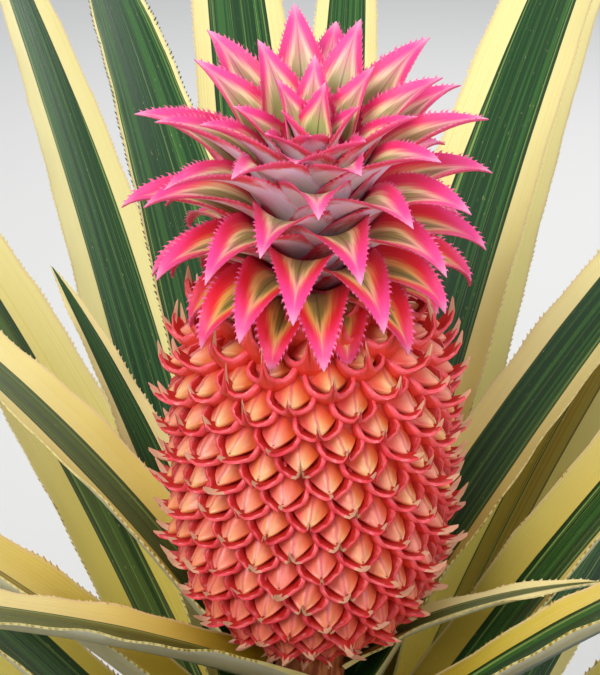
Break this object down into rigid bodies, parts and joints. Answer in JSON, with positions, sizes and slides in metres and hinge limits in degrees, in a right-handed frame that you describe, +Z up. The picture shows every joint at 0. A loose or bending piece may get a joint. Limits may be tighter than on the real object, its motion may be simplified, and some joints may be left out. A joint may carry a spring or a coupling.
{
  "type": "pineapple plant",
  "caption": "Variegated ornamental pineapple plant: short stem, rosette of long channelled leaves, stalk, red fruit and tufted crown.",
  "frame": {"origin": "middle of the stem's flat cut at ground level", "axes": "+Z up along the stem and the fruit, -Y towards the rosette's open side, where the leaves lie lowest, +X to the right seen from there"},
  "size_m": [1.4386, 1.4645, 0.6621],
  "materials": {
    "stem": "rough, ringed with leaf scars",
    "stalk": "satin",
    "leaf": "satin, green with cream edges",
    "fruit": "waxy",
    "crown_stem": "satin",
    "crown": "satin, pink with green and cream centres"
  },
  "bodies": {
    "root": {"stem": "stem", "stalk": "stalk", "leaf_01": "leaf", "leaf_02": "leaf", "leaf_03": "leaf", "leaf_04": "leaf", "leaf_05": "leaf", "leaf_06": "leaf", "leaf_07": "leaf", "leaf_08": "leaf", "leaf_09": "leaf", "leaf_10": "leaf", "leaf_11": "leaf", "leaf_12": "leaf", "leaf_13": "leaf", "leaf_14": "leaf", "leaf_15": "leaf", "leaf_16": "leaf", "leaf_17": "leaf", "leaf_18": "leaf", "leaf_19": "leaf", "leaf_20": "leaf", "leaf_21": "leaf", "leaf_22": "leaf", "leaf_23": "leaf", "leaf_24": "leaf", "leaf_25": "leaf", "leaf_26": "leaf", "leaf_27": "leaf", "leaf_28": "leaf", "leaf_29": "leaf", "leaf_30": "leaf", "leaf_31": "leaf", "leaf_32": "leaf", "leaf_33": "leaf", "leaf_34": "leaf", "leaf_35": "leaf", "leaf_36": "leaf", "leaf_37": "leaf", "leaf_38": "leaf", "leaf_39": "leaf", "leaf_40": "leaf", "fruit": "fruit", "crown_stem": "crown_stem", "crown_tier_1": "crown", "crown_tier_2": "crown", "crown_tier_3": "crown"}
  },
  "joints": []
}
